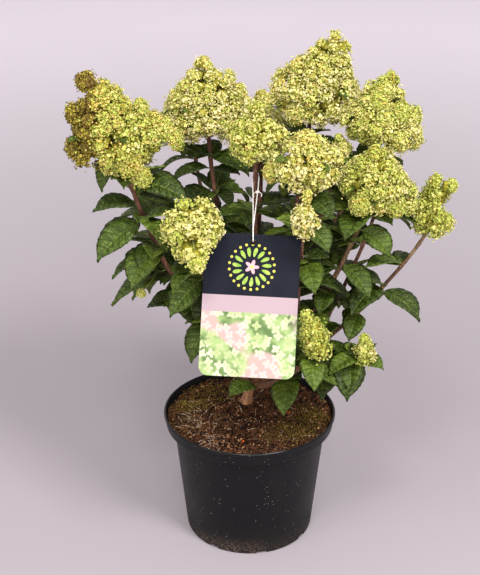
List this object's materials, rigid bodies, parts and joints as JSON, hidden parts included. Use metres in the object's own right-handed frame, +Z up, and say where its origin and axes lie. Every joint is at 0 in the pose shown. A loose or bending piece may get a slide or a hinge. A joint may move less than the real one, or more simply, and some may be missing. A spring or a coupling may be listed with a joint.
{
  "type": "potted panicle hydrangea",
  "caption": "Potted panicle hydrangea: short trunk, bare arching stems, leafy shoots with cone-shaped flower heads, in a round black nursery pot filled with soil, with a hanging card label",
  "frame": {"origin": "centre of the pot's flat underside", "axes": "+Z up, -Y the front with the label, +X to the viewer's right"},
  "size_m": [0.4127, 0.3139, 0.5739],
  "materials": {
    "pot": "black moulded plastic, slightly glossy on the rim, dusty towards the foot",
    "soil": "damp brown peat with fibres and moss",
    "bark": "reddish brown bark, dull",
    "leaf": "dark green, satin, with sunken veins",
    "flower": "pale lime green to cream petals",
    "card": "printed plastic card, satin",
    "cord": "white string"
  },
  "bodies": {
    "root": {"pot": "pot", "soil": "soil", "trunk": "bark", "stem_left": "bark", "stem_back_left": "bark", "stem_centre": "bark", "stem_top": "bark", "stem_right": "bark", "stem_far_right": "bark", "stem_front_left": "bark", "stem_back": "bark", "stem_low_front": "bark", "stem_behind_left": "bark", "stem_upper_right": "bark", "stem_behind_right": "bark", "stem_side_right": "bark", "stem_side_left": "bark", "stem_middle": "bark", "stem_front": "bark", "stem_low_right": "bark", "stem_inner_right": "bark", "label": "card", "label_tie": "cord", "flowers_left": "flower", "flowers_back_left": "flower", "flowers_centre": "flower", "flowers_top": "flower", "flowers_right": "flower", "flowers_far_right": "flower", "flowers_front_left": "flower", "flowers_back": "flower", "flowers_behind_left": "flower", "flowers_upper_right": "flower", "flowers_behind_right": "flower", "flowers_side_right": "flower", "flowers_side_left": "flower", "flowers_middle": "flower", "leaves_left": "leaf", "leaves_back_left": "leaf", "leaves_centre": "leaf", "leaves_top": "leaf", "leaves_right": "leaf", "leaves_far_right": "leaf", "leaves_front_left": "leaf", "leaves_back": "leaf", "shoot_low_front": "leaf", "leaves_behind_left": "leaf", "leaves_upper_right": "leaf", "leaves_behind_right": "leaf", "leaves_side_right": "leaf", "leaves_side_left": "leaf", "leaves_middle": "leaf", "shoot_front": "leaf", "shoot_low_right": "leaf", "shoot_inner_right": "leaf"}
  },
  "joints": []
}
